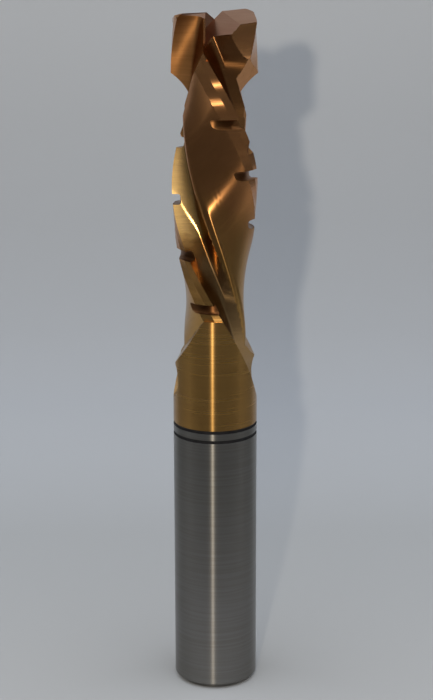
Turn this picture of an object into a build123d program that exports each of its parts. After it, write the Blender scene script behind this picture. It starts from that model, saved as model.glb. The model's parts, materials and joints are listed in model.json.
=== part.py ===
from build123d import *
from math import cos, degrees, radians, sin, sqrt, tan
import os

# Compression router bit, ground from one rod of solid carbide.
# Origin at the centre of the shank end, +Z to the tip. Millimetres and degrees.
# Angles are seen from the tip, counterclockwise from +X.

# Rod
rod_diameter = 12.7
overall_length = 103.85
end_chamfer = 0.8

# Witness rings round the shank below the cutting end
ring_height = 41.2
ring_spacing = 1.5
ring_width = 0.5
ring_depth = 0.2

# Down-cut teeth: a pair with a left-hand helix, placed by one edge at one height
down_helix = 30.0
down_edge_height = 80.0
down_edge_angle = -8.0

# Up-cut teeth at the tip: a pair with a right-hand helix
up_helix = 24.2
up_edge_height = 95.0
up_edge_angle = 180.0

# Tooth profile, the same for both pairs
land_width = 1.21
land_relief = 12.6
second_land_width = 1.71
second_land_relief = 26.3
back_relief = 56.4
back_radius = 9.55
nose_radius = 1.35
web_half_width = 3.13
rake_lean = 8.0
rake_flat = 0.6
gullet_radius = 5.2
gullet_corner = 0.9

# Clearance behind the up-cut teeth: one flat, turned with the helix
up_back_relief = 79.0
up_back_distance = 5.27
up_back_low_height = 97.4

# Run-out of the flutes towards the shank: where each starts and the radius of its arc
down_runout_height = 51.2
down_runout_radius = 6.0
up_runout_height = 95.4
up_runout_radius = 26.5

# Where the lands stop: a level step at the foot, and inside the up-cut teeth at the top
land_low_height = 59.1
land_top_height = 99.5
up_land_low_height = 94.0

# Where the clearance behind the teeth stops: a flat face at the rod's skin height,
# leaning over from level and turned to face an angle
down_back_low = (51.0, 58.3, -3.6)
down_back_top = (97.6, 55.3, 135.4)
down_back_foot = 44.0
down_back_end_height = 98.9
# Above the top face it is cut only on one side of this angle, inside the up-cut flute
down_back_end_angle = 200.0
# Neck below the up-cut teeth: a face ground on each side, deepest at the clearance's end
neck_face = (83.3, 74.0, 180.0)

# Chipbreaker slots, staggered from one down-cut tooth to the other
slot_pitch = 7.8
slot_first_height = 60.9
slot_count = 4
slot_width = 1.45
slot_depth = 1.25
slot_corner = 0.45

# Cutting end: edges dished to the centre, relieved behind, with a gash ahead of each
corner_radius = 1.0
end_dish = 0.15
end_relief = 15.0
gash_start = 1.37
gash_slope = 38.0
gash_facing = 13.7
gash_wall_distance = 1.3
gash_wall_facing = 144.1

os.makedirs("parts", exist_ok=True)

rod_radius = rod_diameter / 2
down_rate = -degrees(tan(radians(down_helix)) / rod_radius)
up_rate = degrees(tan(radians(up_helix)) / rod_radius)
# The edges lie this far inside the rod, so that none of its skin is left on them
edge_radius = rod_radius - 0.01
# How far the cutters reach past the rod
reach = rod_radius + 3


def down_angle(height):
    return down_edge_angle + down_rate * (height - down_edge_height)


def up_angle(height):
    return up_edge_angle + up_rate * (height - up_edge_height)


# Flute profile, ahead of an edge on +X: rake face, gullet and far wall
rake = (sin(radians(90 - rake_lean)), -cos(radians(90 - rake_lean)))
rake_top = (edge_radius + reach * rake[0] / 2, reach * rake[1] / 2)
rake_foot = (edge_radius - rake_flat * rake[0], -rake_flat * rake[1])
gullet_centre = (rake_foot[0] - gullet_radius * rake[1], rake_foot[1] + gullet_radius * rake[0])
floor_end = (
    web_half_width,
    gullet_centre[1] - sqrt(gullet_radius**2 - (gullet_centre[0] - web_half_width) ** 2),
)
with BuildSketch() as flute_profile:
    with BuildLine():
        Line(rake_top, rake_foot)
        RadiusArc(rake_foot, floor_end, gullet_radius)
        Polyline(floor_end, (web_half_width, reach), (reach, reach), rake_top)
    make_face()
    fillet(flute_profile.vertices().sort_by_distance(floor_end)[0], gullet_corner)

# Clearance profile behind an edge on +X: two lands, the curved back and the heel's nose
land_end = (
    edge_radius - land_width * sin(radians(land_relief)),
    -land_width * cos(radians(land_relief)),
)
second_land_end = (
    land_end[0] - second_land_width * sin(radians(second_land_relief)),
    land_end[1] - second_land_width * cos(radians(second_land_relief)),
)
back_centre = (
    second_land_end[0] - back_radius * cos(radians(back_relief)),
    second_land_end[1] + back_radius * sin(radians(back_relief)),
)
# The nose reaches a little past the next flute's wall, to cross it cleanly
nose_side = -web_half_width - 0.06
heel = (
    nose_side,
    back_centre[1] - sqrt(back_radius**2 - (back_centre[0] - nose_side) ** 2),
)
nose_end = (nose_side, heel[1] + 1.2 * nose_radius)
land_start = (
    edge_radius + 0.5 * sin(radians(land_relief)),
    0.5 * cos(radians(land_relief)),
)
land_exit = (
    second_land_end[0] - reach * sin(radians(second_land_relief)) / 2,
    second_land_end[1] - reach * cos(radians(second_land_relief)) / 2,
)
# The back's arc starts a little outside the rod, to cross the second land cleanly
back_start_turn = radians(90 - back_relief) - radians(90) + 0.16
back_start = (
    back_centre[0] + back_radius * cos(back_start_turn),
    back_centre[1] + back_radius * sin(back_start_turn),
)
with BuildSketch() as land_profile:
    with BuildLine():
        Polyline(
            land_start, land_end, land_exit, (reach, land_exit[1]), (reach, land_start[1]),
            land_start,
        )
    make_face()
with BuildSketch() as back_profile:
    with BuildLine():
        RadiusArc(back_start, heel, back_radius)
        Polyline(
            heel, nose_end, (-reach, nose_end[1]), (-reach, -reach), (reach, -reach),
            (reach, back_start[1]), back_start,
        )
    make_face()
    fillet(back_profile.vertices().sort_by_distance(heel)[0], nose_radius)

flute_outline = flute_profile.sketch.face()
with BuildSketch() as up_back_profile:
    with Locations(Location((0, 0, 0), (0, 0, -up_back_relief))):
        with Locations((up_back_distance + reach / 2, 0)):
            Rectangle(reach, 2 * reach)
land_outline = land_profile.sketch.face()
up_back_outline = up_back_profile.sketch.face()
back_outline = back_profile.sketch.face()


def twisted(outline, low, top, angle_at, rate):
    # Prism of a profile that turns with the helix from one height to another
    base = outline.moved(Location((0, 0, low), (0, 0, angle_at(low))))
    return Solid.extrude_linear_with_rotation(
        base, (0, 0, low), (0, 0, top - low), rate * (top - low)
    )


def runout(outline, top, radius, angle_at, rate):
    # The flute leaves the rod on the wheel's arc, sliding out along its own rake face
    slant = 1 / cos(radians(rate) * 0.8 * rod_radius)
    depth = rod_radius - web_half_width + 0.6
    length = sqrt(2 * radius * depth) / slant
    steps = 4
    sections = []
    for step in range(steps + 1):
        drop = length * step / steps
        shift = (drop * slant) ** 2 / (2 * radius)
        place = Location((0, 0, top - drop), (0, 0, angle_at(top - drop)))
        sections.append(outline.moved(place * Location((shift * rake[0], shift * rake[1], 0))))
    return Solid.make_loft([section.outer_wire() for section in sections])


def stop_face(skin_height, lean, facing, side):
    # Face where a wheel stopped: it crosses the rod's skin at this height on the facing side
    turn = radians(facing)
    tilt = radians(lean)
    start = (rod_radius * cos(turn), rod_radius * sin(turn), skin_height)
    away = (sin(tilt) * cos(turn), sin(tilt) * sin(turn), side * cos(tilt))
    return Plane(origin=start, z_dir=away)


# Clearance behind a down-cut tooth. It lifts out below the up-cut tooth's corner, and runs
# on into the up-cut flute on the far side of that tooth's edge.
low_face = stop_face(*down_back_low, 1)
lift_face = stop_face(*down_back_top, -1)
side_turn = radians(down_back_end_angle + 90)
side_face = Plane(origin=(0, 0, 0), z_dir=(cos(side_turn), sin(side_turn), 0))
with BuildPart() as down_back:
    add(twisted(back_outline, down_back_foot, down_back_end_height, down_angle, down_rate))
    split(bisect_by=low_face, keep=Keep.TOP)
    with BuildPart(mode=Mode.SUBTRACT):
        Cylinder(3 * reach, 2 * overall_length)
        split(bisect_by=lift_face, keep=Keep.BOTTOM)
        split(bisect_by=side_face, keep=Keep.BOTTOM)
with BuildPart() as neck:
    Cylinder(reach, overall_length, align=(Align.CENTER, Align.CENTER, Align.MIN))
    split(bisect_by=stop_face(*neck_face, 1), keep=Keep.TOP)
    split(bisect_by=lift_face, keep=Keep.TOP)
cutters = [
    twisted(flute_outline, down_runout_height, overall_length + 1, down_angle, down_rate),
    runout(flute_outline, down_runout_height, down_runout_radius, down_angle, down_rate),
    twisted(land_outline, land_low_height, land_top_height, down_angle, down_rate),
    down_back.part,
    neck.part,
    twisted(flute_outline, up_runout_height, overall_length + 1, up_angle, up_rate),
    runout(flute_outline, up_runout_height, up_runout_radius, up_angle, up_rate),
    twisted(land_outline, up_land_low_height, overall_length + 1, up_angle, up_rate),
    twisted(up_back_outline, up_back_low_height, overall_length + 1, up_angle, up_rate),
]

# End faces of the first up-cut tooth, cut on the side of the rod behind its end edge
end_angle = up_angle(overall_length)
end_turn = radians(end_angle)
centre_height = overall_length - end_dish
along = (cos(end_turn), sin(end_turn), 0)
# The relief leans down behind the edge and up towards the corner
relief_lean = tan(radians(end_relief))
dish_lean = end_dish / rod_radius
relief_up = (
    relief_lean * sin(end_turn) - dish_lean * cos(end_turn),
    -relief_lean * cos(end_turn) - dish_lean * sin(end_turn),
    1,
)
gash_turn = radians(end_angle + 180 + gash_facing)
gash_up = (
    sin(radians(gash_slope)) * cos(gash_turn),
    sin(radians(gash_slope)) * sin(gash_turn),
    cos(radians(gash_slope)),
)
gash_point = (
    gash_start * cos(end_turn),
    gash_start * sin(end_turn),
    centre_height + gash_start * dish_lean,
)


wall_turn = radians(end_angle + gash_wall_facing)
gash_wall = Plane(
    origin=(gash_wall_distance * cos(wall_turn), gash_wall_distance * sin(wall_turn), 0),
    z_dir=(-cos(wall_turn), -sin(wall_turn), 0),
)


def end_cut(point, up):
    with BuildPart(Plane((0, 0, overall_length), x_dir=along, z_dir=(0, 0, 1))) as result:
        Box(2 * reach, reach, 2 * reach, align=(Align.CENTER, Align.MAX, Align.CENTER))
        split(bisect_by=Plane(origin=point, z_dir=up), keep=Keep.TOP)
    return result.part


with BuildPart() as gash:
    add(end_cut(gash_point, gash_up))
    split(bisect_by=gash_wall, keep=Keep.TOP)
cutters.append(end_cut((0, 0, centre_height), relief_up))
cutters.append(gash.part)

with BuildPart() as router_bit:
    Cylinder(rod_radius, overall_length, align=(Align.CENTER, Align.CENTER, Align.MIN))
    chamfer(router_bit.edges().sort_by(Axis.Z)[0], end_chamfer)
    fillet(router_bit.edges().sort_by(Axis.Z)[-1], corner_radius)
    with BuildSketch(Plane.XZ):
        for index in range(2):
            with Locations((rod_radius, ring_height + (index - 0.5) * ring_spacing)):
                Rectangle(2 * ring_depth, ring_width)
    revolve(axis=Axis.Z, mode=Mode.SUBTRACT)
    for turn in (0, 180):
        for cutter in cutters:
            add(cutter, rotation=(0, 0, turn), mode=Mode.SUBTRACT)
    # Slots: the first tooth's lie half a pitch above the second tooth's
    for tooth in range(2):
        for index in range(slot_count):
            height = slot_first_height + (index + tooth / 2) * slot_pitch
            start = radians(down_angle(height) + 180 * (1 - tooth) - 75)
            across = (cos(start), sin(start), 0)
            beside = (-sin(start), cos(start), 0)
            with BuildSketch(Plane((0, 0, height), x_dir=across, z_dir=beside)) as slot:
                with Locations((rod_radius + 1, 0)):
                    Rectangle(2 * slot_depth + 2, slot_width)
                fillet(slot.vertices(), slot_corner)
            revolve(axis=Axis.Z, revolution_arc=120, mode=Mode.SUBTRACT)

router_bit.part.label = "router_bit"
export_step(router_bit.part, "parts/router_bit.step")
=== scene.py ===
import bpy
import json
from math import atan2, cos, degrees, pi, radians, sin, sqrt, tan
from mathutils import Matrix, Vector

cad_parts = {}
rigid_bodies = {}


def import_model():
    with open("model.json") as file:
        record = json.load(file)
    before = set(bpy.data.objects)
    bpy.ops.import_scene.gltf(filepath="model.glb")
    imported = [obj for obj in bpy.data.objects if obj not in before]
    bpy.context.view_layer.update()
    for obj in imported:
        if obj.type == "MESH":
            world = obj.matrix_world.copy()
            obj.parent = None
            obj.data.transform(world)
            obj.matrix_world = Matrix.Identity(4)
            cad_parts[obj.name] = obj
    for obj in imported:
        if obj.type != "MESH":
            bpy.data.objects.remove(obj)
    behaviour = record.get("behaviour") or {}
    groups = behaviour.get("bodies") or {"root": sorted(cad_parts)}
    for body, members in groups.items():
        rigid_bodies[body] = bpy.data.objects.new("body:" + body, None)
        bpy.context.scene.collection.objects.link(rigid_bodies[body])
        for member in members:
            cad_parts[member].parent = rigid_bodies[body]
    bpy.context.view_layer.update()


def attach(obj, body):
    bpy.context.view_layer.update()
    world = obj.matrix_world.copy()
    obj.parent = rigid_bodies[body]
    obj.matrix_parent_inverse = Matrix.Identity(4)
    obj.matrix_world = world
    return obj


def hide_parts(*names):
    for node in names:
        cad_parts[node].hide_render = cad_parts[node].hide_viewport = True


# Compression router bit: the ground piece itself, its finishes, the sheet it stands on,
# the light and the camera. Metres, in the same frame as the solids: origin at the centre
# of the shank end, +Z to the tip. Sizes are in millimetres until a mesh is made.

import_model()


# Materials

# Scale of a noise that has one speck to the millimetre
per_mm = 1000.0


def linear(code):
    # sRGB hex to linear colour
    values = [int(code[i:i + 2], 16) / 255 for i in (1, 3, 5)]
    return [v / 12.92 if v <= 0.04045 else ((v + 0.055) / 1.055) ** 2.4 for v in values] + [1]


def add(owner, kind, links=None, stops=(), **settings):
    # One node: a setting is the node's own property, or else the value of an input. The stops
    # of a colour ramp are given as place and hex colour.
    node = owner.node_tree.nodes.new("ShaderNode" + kind)
    for name, value in settings.items():
        if hasattr(node, name):
            setattr(node, name, value)
        else:
            node.inputs[name.replace("_", " ")].default_value = value
    for name, source in (links or {}).items():
        owner.node_tree.links.new(source, node.inputs[name])
    if stops:
        band = node.color_ramp.elements
        for _ in stops[2:]:
            band.new(0.5)
        for element, (place, code) in zip(band, stops):
            element.position = place
            element.color = linear(code)
    return node


def empty_material(name):
    material = bpy.data.materials.new(name)
    material.use_nodes = True
    material.node_tree.nodes.clear()
    return material


def ground_metal(name, tones, marks_turn, roughness, mark_depth):
    # Tungsten carbide ground with a diamond wheel, bare or under a thin film. It shows as dark
    # metal with a thin bright line wherever a surface passes the lamp: the grinding marks lie
    # marks_turn degrees from level, spread that line across themselves and keep it narrow
    # along themselves.
    material = empty_material(name)
    place = add(material, "TexCoord").outputs["Object"]
    height = add(material, "SeparateXYZ", {0: place}).outputs["Z"]
    # Clouds about 9 mm across shift the tones: they add 0 to 0.03 to the height in metres
    broad = add(material, "TexNoise", {"Vector": place}, Scale=0.11 * per_mm, Detail=4.0)
    clouds = add(
        material, "Math", {0: broad.outputs["Fac"], 2: height}, operation="MULTIPLY_ADD",
    )
    clouds.inputs[1].default_value = 0.03
    tint = add(material, "ValToRGB", {0: clouds.outputs[0]}, tones)
    if marks_turn == 0:
        # Level marks, drawn 4 mm long and 12 to the millimetre. Real ones are finer.
        lines = add(material, "Mapping", {"Vector": place}, Scale=(0.25, 0.25, 12.0)).outputs[0]
    else:
        # Marks on a helix, drawn 13 mm long and 6 to the millimetre. Real ones are finer. The
        # noise turns with the height, as such a mark does at the faces' mean radius in metres.
        mean_radius = 0.0045
        turn = add(material, "Math", {0: height}, operation="MULTIPLY")
        turn.inputs[1].default_value = -1 / (mean_radius * tan(radians(marks_turn)))
        turned = add(
            material, "VectorRotate", {"Vector": place, "Angle": turn.outputs[0]},
            rotation_type="Z_AXIS",
        )
        lines = add(
            material, "Mapping", {"Vector": turned.outputs[0]}, Scale=(6.0, 6.0, 0.075),
        ).outputs[0]
    marks = add(material, "TexNoise", {"Vector": lines}, Scale=per_mm, Detail=1.0)
    # Streaks nearly three times as coarse, which keep the sheen from being even
    streaks = add(material, "TexNoise", {"Vector": lines}, Scale=0.36 * per_mm, Detail=2.0)
    shade = add(
        material, "ValToRGB", {0: streaks.outputs["Fac"]}, ((0.35, "#f4f1ee"), (0.65, "#ffffff")),
    )
    toned = add(
        material, "Mix", {6: tint.outputs[0], 7: shade.outputs[0]},
        data_type="RGBA", blend_type="MULTIPLY",
    )
    toned.inputs[0].default_value = 1.0
    # The depth is in micrometres, and more than the real one, as the marks are wider too
    bump = add(
        material, "Bump", {"Height": marks.outputs["Fac"]}, Strength=1.0,
        Distance=mark_depth / 1000000,
    )
    rough = add(
        material, "MapRange", {"Value": streaks.outputs["Fac"]},
        To_Min=0.95 * roughness, To_Max=1.05 * roughness,
    )
    # The direction that the marks turn from: up along the bit, just off its axis so that it
    # still has a direction on the level faces
    up = add(material, "CombineXYZ", X=0.02, Y=0.01, Z=1.0)
    shader = add(
        material, "BsdfPrincipled",
        {
            "Base Color": toned.outputs[2], "Roughness": rough.outputs[0],
            "Normal": bump.outputs[0], "Tangent": up.outputs[0],
        },
        Metallic=1.0, Anisotropic=1.0, Anisotropic_Rotation=(marks_turn / 360) % 1.0,
    )
    add(material, "OutputMaterial", {"Surface": shader.outputs[0]})
    return material


def ring_groove():
    # Bare carbide of the ring grooves: rough and dull, and coloured far darker than the bare
    # shank, with specks about 1 mm across
    material = empty_material("dark_ring_groove")
    place = add(material, "TexCoord").outputs["Object"]
    broad = add(material, "TexNoise", {"Vector": place}, Scale=0.9 * per_mm, Detail=3.0)
    tint = add(
        material, "ValToRGB", {0: broad.outputs["Fac"]}, ((0.3, "#2b2a2c"), (0.7, "#3b393a")),
    )
    shader = add(
        material, "BsdfPrincipled", {"Base Color": tint.outputs[0]},
        Metallic=0.6, Roughness=0.55,
    )
    add(material, "OutputMaterial", {"Surface": shader.outputs[0]})
    return material


# Tones by height in metres, plus the 0.015 or so that the clouds add. The bronze to gold
# film is a few thousandths of a millimetre thick, redder to the tip and yellower below.
gold = (
    (0.056, "#ab834b"), (0.075, "#bf9454"), (0.088, "#c08a50"), (0.095, "#cb8d58"),
    (0.118, "#cf945f"),
)
# The right-hand flutes' film is painted paler than the rest of it, as painted sheen for the broad
# glow they show, and darker again just under the tip.
pale_gold_painted_sheen = ((0.056, "#c8a26c"), (0.1, "#dca466"), (0.11, "#dc9f60"), (0.118, "#a5703f"))
# The left-hand flutes' film tones are partly painted sheen: narrow bright and dark bands, broken
# by the clouds into mottled patches, stand in for the sparkly highlights of the scored floor.
clouded_gold_painted_sheen = (
    (0.066, "#b59263"), (0.078, "#b08c5e"), (0.083, "#90602f"), (0.087, "#9a6c38"),
    (0.0895, "#cda463"), (0.092, "#ab824a"), (0.096, "#d8ae70"), (0.1, "#a0703f"),
    (0.112, "#b27a4a"),
)
# The bare carbide is painted slightly paler towards the shank end: painted reflection of the pale
# floor, which the shank shows more near its foot.
bare_grey_painted_reflection = ((0.01, "#86847f"), (0.025, "#858380"), (0.045, "#7e7c77"))
rosy_bronze = ((0.112, "#97725d"), (0.122, "#a1816b"))
# The slots' film is painted darker than the rest of it: painted shade inside the slots.
dull_bronze_painted_shade = ((0.075, "#6f4a2c"), (0.1, "#8a5f38"))

# Finishes, in the order of the bit's material slots: name, tones, turn of the marks,
# roughness, depth of the marks. The shank, rod and lands are finely ground and show a thin
# bright line. So does the clearance, ground along its helix. The long flutes are smooth but
# scored, and their mottled tones are partly painted sheen. The short ones at the tip are rough,
# and painted paler as painted sheen. The end faces are dull, and the slots are dull and
# painted darker as painted shade.
finishes = [
    ground_metal("bare_ground_carbide", bare_grey_painted_reflection, 0, 0.31, 2.4),
    ring_groove(),
    ground_metal("coated_ground_rod", gold, 0, 0.27, 2.4),
    ground_metal("coated_land", gold, 0, 0.25, 4.8),
    ground_metal("coated_flute_left_hand", clouded_gold_painted_sheen, 0, 0.2, 12.0),
    ground_metal("coated_flute_right_hand", pale_gold_painted_sheen, 0, 0.7, 6.0),
    ground_metal("coated_clearance", gold, 38, 0.22, 1.8),
    ground_metal("coated_end_face", rosy_bronze, 0, 0.36, 6.0),
    ground_metal("coated_slot", dull_bronze_painted_shade, 0, 0.4, 6.0),
]
BARE, GROOVE, ROD, LAND, LEFT_FLUTE, RIGHT_FLUTE, CLEARANCE, END_FACE, SLOT = range(9)


# Sizes of the bit, as in its source, in millimetres and degrees

rod_radius = 6.35
bit_length = 103.85
end_chamfer = 0.8
corner_radius = 1.0
ring_feet = (40.2, 41.7)
ring_width = 0.5
ring_depth = 0.2
coating_start = 42.0
# Section of a tooth: the rake face and gullet ahead of its edge, two lands and a curved back
edge_radius = rod_radius - 0.01
web_half_width = 3.13
rake_lean = 8.0
rake_width = 0.6
gullet_radius = 5.2
gullet_corner = 0.9
land_width = 1.21
land_relief = 12.6
second_land_width = 1.71
second_land_relief = 26.3
back_relief = 56.4
back_radius = 9.55
nose_radius = 1.35
up_back_distance = 5.27
up_back_facing = -79.0
# Turn of the left-hand and right-hand helix, in degrees for each millimetre of height
down_rate = -degrees(tan(radians(30.0)) / rod_radius)
up_rate = degrees(tan(radians(24.2)) / rod_radius)
# Heights between which each cut runs, and the radii of the wheels that lift out of the flutes
down_flute_foot = 51.2
down_wheel_radius = 6.0
down_land_foot, down_land_top = 59.1, 99.5
down_back_foot, down_back_top = 44.0, 98.9
up_flute_foot = 95.4
up_wheel_radius = 26.5
up_land_foot = 94.0
up_back_foot = 97.4
# Where a wheel stopped: the height on the rod's skin, then the lean of the face and the side
# of the rod that it lies on, in degrees, and 1 for a cut above it or -1 for one below
down_back_start = (51.0, 58.3, -3.6, 1)
down_back_stop = (97.6, 55.3, 135.4, -1)
neck_start = (83.3, 74.0, 180.0, 1)
# The second down-cut back is kept on this side of the rod, in the up-cut flute
up_flute_side = 290.0
slot_first_height = 60.9
slot_pitch = 7.8
slot_count = 4
slot_width = 1.45
slot_depth = 1.25
slot_corner = 0.45
slot_sweep = 120
slot_lead = 75
end_dish = 0.15
end_relief = 15.0
gash_distance = 1.37
gash_slope = 38.0
gash_turn = 13.7
gash_wall_distance = 1.3
gash_wall_turn = 144.1
# How far the cutters reach from the axis, well past the rod
reach = rod_radius + 3


def down_angle(height):
    # Where the first down-cut edge points at a height: -8 degrees at 80 mm
    return -8.0 + down_rate * (height - 80.0)


def up_angle(height):
    # Where the first up-cut edge points at a height: 180 degrees at 95 mm
    return 180.0 + up_rate * (height - 95.0)


def polar(angle, length=1.0):
    return Vector((length * cos(radians(angle)), length * sin(radians(angle))))


def arc(centre, radius, start, end, step=4.0):
    count = max(2, round(abs(end - start) / step))
    return [centre + polar(start + (end - start) * i / count, radius) for i in range(count + 1)]


def angle_of(vector):
    return degrees(atan2(vector.y, vector.x))


# Outlines of the grinding cuts, ahead of and behind a cutting edge that lies on +X

edge = Vector((edge_radius, 0))
rake = polar(-rake_lean)
land = polar(90.0 - land_relief)
second_land = polar(90.0 - second_land_relief)
first_heel = edge - land_width * land
second_heel = first_heel - second_land_width * second_land


def flute_outline():
    # Rake face, gullet, rounded corner and far wall
    foot = edge - rake_width * rake
    centre = foot + gullet_radius * Vector((-rake.y, rake.x))
    side = web_half_width + gullet_corner
    inner = gullet_radius - gullet_corner
    corner_centre = Vector((side, centre.y - sqrt(inner**2 - (centre.x - side) ** 2)))
    meet = angle_of(corner_centre - centre)
    return [
        edge + reach / 2 * rake,
        *arc(centre, gullet_radius, angle_of(foot - centre), meet),
        *arc(corner_centre, gullet_corner, meet, -180.0, 8.0)[1:],
        Vector((web_half_width, reach)),
        Vector((reach, reach)),
    ]


def land_outline():
    # Two lands behind the edge, each leaning further in. The cut starts 0.5 mm outside it.
    start = edge + 0.5 * land
    past = second_heel - reach / 2 * second_land
    return [start, first_heel, past, Vector((reach, past.y)), Vector((reach, start.y))]


def back_outline():
    # Curved back of the tooth, from a little ahead of the second heel, and its nose, which
    # ends just past the wall of the other tooth's flute
    ahead = degrees(0.16)
    side = -web_half_width - 0.06
    centre = second_heel - polar(-back_relief, back_radius)
    inner = back_radius - nose_radius
    nose_centre = Vector((side + nose_radius, 0))
    nose_centre.y = centre.y - sqrt(inner**2 - (centre.x - nose_centre.x) ** 2)
    meet = angle_of(nose_centre - centre)
    curve = arc(centre, back_radius, ahead - back_relief, meet, 2.0)
    return [
        *curve,
        *arc(nose_centre, nose_radius, meet, -180.0, 6.0)[1:],
        nose_centre + Vector((-nose_radius, 1.0)),
        Vector((-reach, nose_centre.y + 1.0)),
        Vector((-reach, -reach)),
        Vector((reach, -reach)),
        Vector((reach, curve[0].y)),
    ]


def up_back_outline():
    # One flat clearance behind an up-cut tooth
    turn = Matrix.Rotation(radians(up_back_facing), 2)
    near, far = up_back_distance, up_back_distance + reach
    corners = ((near, -reach), (far, -reach), (far, reach), (near, reach))
    return [turn @ Vector(corner) for corner in corners]


# Modelling helpers

def select_everything():
    bpy.ops.object.mode_set(mode="EDIT")
    bpy.ops.mesh.select_all(action="SELECT")


def outline_face(name, points, finish):
    # A flat face of this outline, level with the shank end
    bpy.ops.object.select_all(action="DESELECT")
    bpy.ops.mesh.primitive_circle_add(vertices=len(points), fill_type="NGON")
    made = bpy.context.object
    made.name = name
    for vertex, point in zip(made.data.vertices, points):
        vertex.co = (point.x / 1000, point.y / 1000, 0)
    for material in finishes:
        made.data.materials.append(material)
    made.data.polygons[0].material_index = finish
    return made


def place_face(height, angle):
    # Turns the selected face about the axis and lifts it to its height
    bpy.ops.transform.rotate(value=-radians(angle), orient_axis="Z", center_override=(0, 0, 0))
    bpy.ops.transform.translate(value=(0, 0, height / 1000))


def raise_face(rise, turn, slide=(0, 0)):
    # Extrudes the selected face upwards, turned about the axis and moved aside
    move = {"value": (slide[0] / 1000, slide[1] / 1000, rise / 1000)}
    bpy.ops.mesh.extrude_region_move(TRANSFORM_OT_translate=move)
    bpy.ops.transform.rotate(value=-radians(turn), orient_axis="Z", center_override=(0, 0, 0))


def close(made):
    # Ends the edit of a closed shape, with its faces pointing outwards
    bpy.ops.mesh.select_all(action="SELECT")
    bpy.ops.mesh.normals_make_consistent(inside=False)
    bpy.ops.object.mode_set(mode="OBJECT")
    return made


def twisted(name, points, finish, low, top, angle_at, rate, step=0.5):
    # Prism of an outline that turns with the helix
    made = outline_face(name, points, finish)
    select_everything()
    place_face(low, angle_at(low))
    count = round((top - low) / step)
    for _ in range(count):
        raise_face((top - low) / count, rate * (top - low) / count)
    return close(made)


def runout(name, points, finish, top, radius, angle_at, rate):
    # The wheel leaves the rod on an arc, sliding out along the flute's own rake face. Its
    # slant is the helix's at four fifths of the rod's radius, and it ends clear of the rod.
    slant = 1 / cos(radians(rate) * 0.8 * rod_radius)
    end_gap = 0.6
    length = sqrt(2 * radius * (rod_radius - web_half_width + end_gap)) / slant
    sections = 20
    drop = length / sections
    made = outline_face(name, points, finish)
    select_everything()
    place_face(top, angle_at(top))
    done = 0
    for index in range(sections):
        shift = (drop * (index + 1) * slant) ** 2 / (2 * radius)
        outward = Matrix.Rotation(radians(angle_at(top - drop * index)), 2) @ rake
        raise_face(-drop, -rate * drop, (shift - done) * outward)
        done = shift
    return close(made)


def keep_side(made, point, normal):
    # Cuts a closed shape by a plane and keeps the side that the normal points to
    bpy.ops.object.select_all(action="DESELECT")
    bpy.context.view_layer.objects.active = made
    made.select_set(True)
    select_everything()
    bpy.ops.mesh.bisect(
        plane_co=[value / 1000 for value in point], plane_no=normal,
        use_fill=True, clear_inner=True,
    )
    return close(made)


def copy_of(made, name):
    # A second object with a mesh of its own
    other = made.copy()
    other.data = made.data.copy()
    other.name = name
    bpy.context.scene.collection.objects.link(other)
    return other


def stop_face(skin_height, lean, facing, side):
    # Where a wheel stopped: a point on the rod's skin and the way the face looks
    turn, tilt = radians(facing), radians(lean)
    point = (rod_radius * cos(turn), rod_radius * sin(turn), skin_height)
    return point, (sin(tilt) * cos(turn), sin(tilt) * sin(turn), side * cos(tilt))


def block(name, finish, size, centre, turn):
    # A box, given by its size and centre before it is turned about the axis
    bpy.ops.object.select_all(action="DESELECT")
    bpy.ops.mesh.primitive_cube_add(size=1)
    made = bpy.context.object
    made.name = name
    for material in finishes:
        made.data.materials.append(material)
    for face in made.data.polygons:
        face.material_index = finish
    turned = Matrix.Rotation(radians(turn), 4, "Z")
    for vertex in made.data.vertices:
        local = Vector([c + v * s for c, v, s in zip(centre, vertex.co, size)])
        vertex.co = (turned @ local) / 1000
    return made


# Blank: a rod turned about its axis, with the end chamfer, the two ring grooves and the
# rounded corner of the tip

def blank():
    low, top = bit_length - corner_radius, rod_radius - corner_radius
    profile = [(rod_radius, end_chamfer)]
    for foot in ring_feet:
        profile += [
            (rod_radius, foot), (rod_radius - ring_depth, foot),
            (rod_radius - ring_depth, foot + ring_width), (rod_radius, foot + ring_width),
        ]
    corner = arc(Vector((top, low)), corner_radius, 0, 90, 9.0)
    profile += [(point.x, point.y) for point in corner]
    bpy.ops.object.select_all(action="DESELECT")
    bpy.ops.mesh.primitive_circle_add(
        vertices=360, radius=(rod_radius - end_chamfer) / 1000, fill_type="NGON",
    )
    made = bpy.context.object
    made.name = "compression_router_bit"
    for material in finishes:
        made.data.materials.append(material)
    select_everything()
    radius, height = rod_radius - end_chamfer, 0.0
    for next_radius, next_height in profile:
        bpy.ops.mesh.extrude_region_move(
            TRANSFORM_OT_translate={"value": (0, 0, (next_height - height) / 1000)}
        )
        scale = next_radius / radius
        bpy.ops.transform.resize(
            value=(scale, scale, 1), center_override=(0, 0, next_height / 1000),
        )
        radius, height = next_radius, next_height
    close(made)
    for face in made.data.polygons:
        centre = face.center * 1000
        beside_rings = ring_feet[0] - 0.1 < centre.z < ring_feet[-1] + ring_width + 0.1
        in_groove = beside_rings and centre.xy.length < rod_radius - ring_depth / 4
        bare_or_coated = ROD if centre.z > coating_start else BARE
        face.material_index = GROOVE if in_groove else bare_or_coated
    return made


# Cuts, each made for the first tooth

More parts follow.
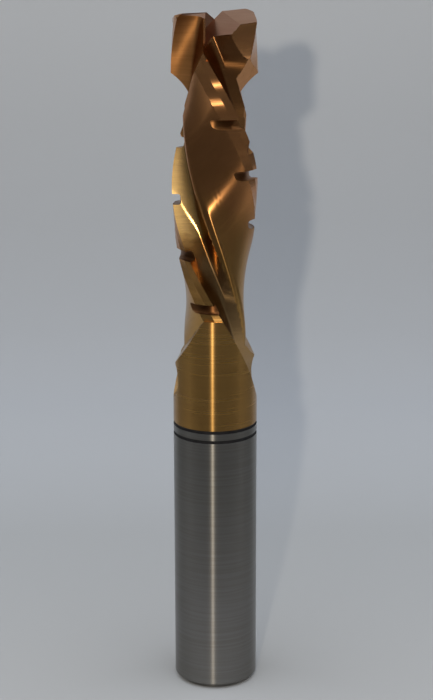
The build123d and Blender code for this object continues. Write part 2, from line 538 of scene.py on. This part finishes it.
def cuts():
    flute, lands, above = flute_outline(), land_outline(), bit_length + 1
    down, up = (down_angle, down_rate), (up_angle, up_rate)
    made = [
        twisted("down_flute", flute, LEFT_FLUTE, down_flute_foot, above, *down),
        runout("down_runout", flute, LEFT_FLUTE, down_flute_foot, down_wheel_radius, *down),
        twisted("down_land", lands, LAND, down_land_foot, down_land_top, *down),
        twisted("up_flute", flute, RIGHT_FLUTE, up_flute_foot, above, *up),
        runout("up_runout", flute, RIGHT_FLUTE, up_flute_foot, up_wheel_radius, *up),
        twisted("up_land", lands, LAND, up_land_foot, above, *up),
        twisted("up_back", up_back_outline(), CLEARANCE, up_back_foot, above, *up),
    ]
    low_back = twisted(
        "down_back", back_outline(), CLEARANCE, down_back_foot, down_back_top, *down,
    )
    keep_side(low_back, *stop_face(*down_back_start))
    high_back = copy_of(low_back, "down_back_in_up_flute")
    keep_side(low_back, *stop_face(*down_back_stop))
    keep_side(high_back, (0, 0, 0), (*polar(up_flute_side), 0))
    neck = block(
        "neck", CLEARANCE, (2 * reach, 2 * reach, bit_length), (0, 0, bit_length / 2), 0,
    )
    keep_side(neck, *stop_face(*neck_start))
    keep_side(neck, *stop_face(*down_back_stop))
    made += [low_back, high_back, neck]
    # End faces: a relief behind the end edge and a gash ahead of the other tooth's. The end
    # edge is the line along, and it falls by the dish to the axis.
    end = up_angle(bit_length)
    along, dish = polar(end), end_dish / rod_radius
    centre_height = bit_length - end_dish
    relief = tan(radians(end_relief))
    box = ((2 * reach, reach, 2 * reach), (0, -reach / 2, bit_length), end)
    made.append(keep_side(
        block("end_relief", END_FACE, *box), (0, 0, centre_height),
        (relief * along.y - dish * along.x, -relief * along.x - dish * along.y, 1),
    ))
    slope = radians(gash_slope)
    gash = keep_side(
        block("end_gash", END_FACE, *box),
        (*(gash_distance * along), centre_height + gash_distance * dish),
        (*(sin(slope) * polar(end + 180 + gash_turn)), cos(slope)),
    )
    wall = polar(end + gash_wall_turn)
    made.append(keep_side(gash, (*(gash_wall_distance * wall), 0), (*-wall, 0)))
    return made


def slot(name, height, start):
    # Chipbreaker slot: a rounded section, half in the rod, turned about the axis
    outside = 1.0
    half, deep = slot_width / 2, slot_depth + outside
    points = []
    for index, (across, up) in enumerate(((1, 1), (-1, 1), (-1, -1), (1, -1))):
        centre = Vector((across * (deep - slot_corner), up * (half - slot_corner)))
        points += arc(centre, slot_corner, 90.0 * index, 90.0 * index + 90, 15.0)
    made = outline_face(name, points, SLOT)
    middle = (rod_radius + outside) / 1000
    turned = Matrix.Rotation(radians(start), 4, "Z")
    for vertex in made.data.vertices:
        across, up = vertex.co.x, vertex.co.y
        vertex.co = turned @ Vector((middle + across, 0, up + height / 1000))
    select_everything()
    bpy.ops.mesh.spin(
        steps=slot_sweep // 2, angle=-radians(slot_sweep), center=(0, 0, 0), axis=(0, 0, 1),
    )
    return close(made)


def subtract(bit, tool):
    # The cut surface keeps the tool's finish
    bpy.ops.object.select_all(action="DESELECT")
    bpy.context.view_layer.objects.active = bit
    bit.select_set(True)
    cut = bit.modifiers.new("cut", "BOOLEAN")
    cut.operation = "DIFFERENCE"
    cut.solver = "MANIFOLD"
    cut.material_mode = "INDEX"
    cut.object = tool
    bpy.ops.object.modifier_apply(modifier=cut.name)


def drop_flakes(bit):
    # The cuts leave a few flakes with no thickness beside the bit: all that isn't joined to
    # the shank end goes
    lowest = min(bit.data.vertices, key=lambda vertex: vertex.co.z).index
    bpy.ops.object.mode_set(mode="EDIT")
    bpy.ops.mesh.select_all(action="DESELECT")
    bpy.ops.object.mode_set(mode="OBJECT")
    bit.data.vertices[lowest].select = True
    bpy.ops.object.mode_set(mode="EDIT")
    bpy.ops.mesh.select_linked()
    bpy.ops.mesh.select_all(action="INVERT")
    bpy.ops.mesh.delete(type="VERT")
    bpy.ops.object.mode_set(mode="OBJECT")


# The bit: every cut is made for both teeth, and the slots of one tooth lie half a pitch
# above the other's

bit = blank()
for tool in cuts():
    for turn in (0, pi):
        tool.rotation_euler.z = turn
        bpy.context.view_layer.update()
        subtract(bit, tool)
    bpy.data.objects.remove(tool)
for tooth in range(2):
    for index in range(slot_count):
        height = slot_first_height + (index + tooth / 2) * slot_pitch
        tool = slot("slot", height, down_angle(height) + 180 * (1 - tooth) - slot_lead)
        subtract(bit, tool)
        bpy.data.objects.remove(tool)
drop_flakes(bit)
bpy.ops.object.shade_smooth_by_angle(angle=radians(10))
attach(bit, "root")
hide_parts("router_bit")


# Sheet of pale paper under and behind the bit, lying flat and then curving up

def paper():
    # Matt paper: no shine. Its tones are painted shade: darkest on the floor round and in front
    # of the bit, with a painted bluish cast at the foot of the bend, and paler further back and
    # up the upright part. It is clear from behind, so that it hides nothing in other views.
    material = empty_material("pale_matt_paper")
    place = add(material, "TexCoord").outputs["Object"]
    split = add(material, "SeparateXYZ", {0: place})
    along = add(material, "Math", {0: split.outputs["Y"], 1: split.outputs["Z"]}, operation="ADD")
    tint = add(
        material, "ValToRGB", {0: along.outputs[0]},
        (
            (0.0, "#a2a3a3"), (0.06, "#a2a4a5"), (0.11, "#acb0b5"), (0.2, "#d3d6d9"),
            (0.4, "#dedfde"),
        ),
    )
    sheet = add(material, "BsdfPrincipled", {"Base Color": tint.outputs[0]}, Roughness=0.9)
    clear = add(material, "BsdfTransparent")
    behind = add(material, "NewGeometry").outputs["Backfacing"]
    shown = add(material, "MixShader", {0: behind, 1: sheet.outputs[0], 2: clear.outputs[0]})
    add(material, "OutputMaterial", {"Surface": shown.outputs[0]})
    return material


# Points of the sheet's line in metres, as depth behind the bit and height: level, then a
# bend that tightens, then upright
sheet_line = (
    (-0.05, 0), (0.04, 0), (0.06, 0.0002), (0.07, 0.0015), (0.08, 0.0044), (0.088, 0.0085),
    (0.094, 0.0135), (0.099, 0.02), (0.1025, 0.028), (0.105, 0.038), (0.1065, 0.05),
    (0.107, 0.07), (0.107, 0.5),
)
bpy.ops.object.select_all(action="DESELECT")
bpy.ops.mesh.primitive_plane_add(size=1)
sheet = bpy.context.object
sheet.name = "paper_sheet"
bpy.ops.object.mode_set(mode="EDIT")
bpy.ops.mesh.delete(type="VERT")
bpy.ops.object.mode_set(mode="OBJECT")
half_width = 0.16
corners = [(side * half_width, y, z) for y, z in sheet_line for side in (-1, 1)]
strips = [(2 * i, 2 * i + 1, 2 * i + 3, 2 * i + 2) for i in range(len(sheet_line) - 1)]
sheet.data.from_pydata(corners, [], strips)
bpy.ops.object.shade_smooth()
sheet.data.materials.append(paper())


# Light: a small lamp beside the camera, and a room that is dark low down and bright overhead

lamp_place = Vector((-0.03, -0.275, 0.15))
lamp_aim = Vector((0, 0, 0.05))
bpy.ops.object.light_add(type="AREA", location=lamp_place)
lamp = bpy.context.object
lamp.name = "lamp_by_camera"
lamp.data.shape = "DISK"
lamp.data.size = 0.0075
lamp.data.energy = 0.27
lamp.data.color = linear("#fff4e2")[:3]
lamp.rotation_euler = (lamp_place - lamp_aim).to_track_quat("Z", "Y").to_euler()

world = bpy.data.worlds.new("studio_room")
bpy.context.scene.world = world
world.use_nodes = True
world.node_tree.nodes.clear()
direction = add(world, "TexCoord").outputs["Generated"]
height = add(world, "SeparateXYZ", {0: direction}).outputs["Z"]
glow = add(
    world, "MapRange", {"Value": height}, interpolation_type="SMOOTHSTEP",
    From_Min=0.4, From_Max=0.9, To_Min=0.085, To_Max=2.3,
)
sky = add(world, "Background", {"Strength": glow.outputs[0]}, Color=linear("#f4f8ff"))
add(world, "OutputWorld", {"Surface": sky.outputs[0]})


# Camera, a little above the tip and looking down along the bit, as fitted to the photo's
# outline. The angles are in radians.

camera_place = (0, -0.27573, 0.13219)
look_aside = -0.0008167
look_down = 0.279366
roll = -0.0018319
camera_data = bpy.data.cameras.new("camera")
camera = bpy.data.objects.new("camera", camera_data)
bpy.context.scene.collection.objects.link(camera)
camera_data.sensor_width = 36
camera_data.lens = 97.55
camera_data.clip_start = 0.01
camera_data.clip_end = 10
camera.matrix_world = (
    Matrix.Translation(camera_place)
    @ Matrix.Rotation(look_aside, 4, "Z")
    @ Matrix.Rotation(pi / 2 - look_down, 4, "X")
    @ Matrix.Rotation(roll, 4, "Z")
)
bpy.context.scene.camera = camera
bpy.context.scene.view_settings.view_transform = "Standard"
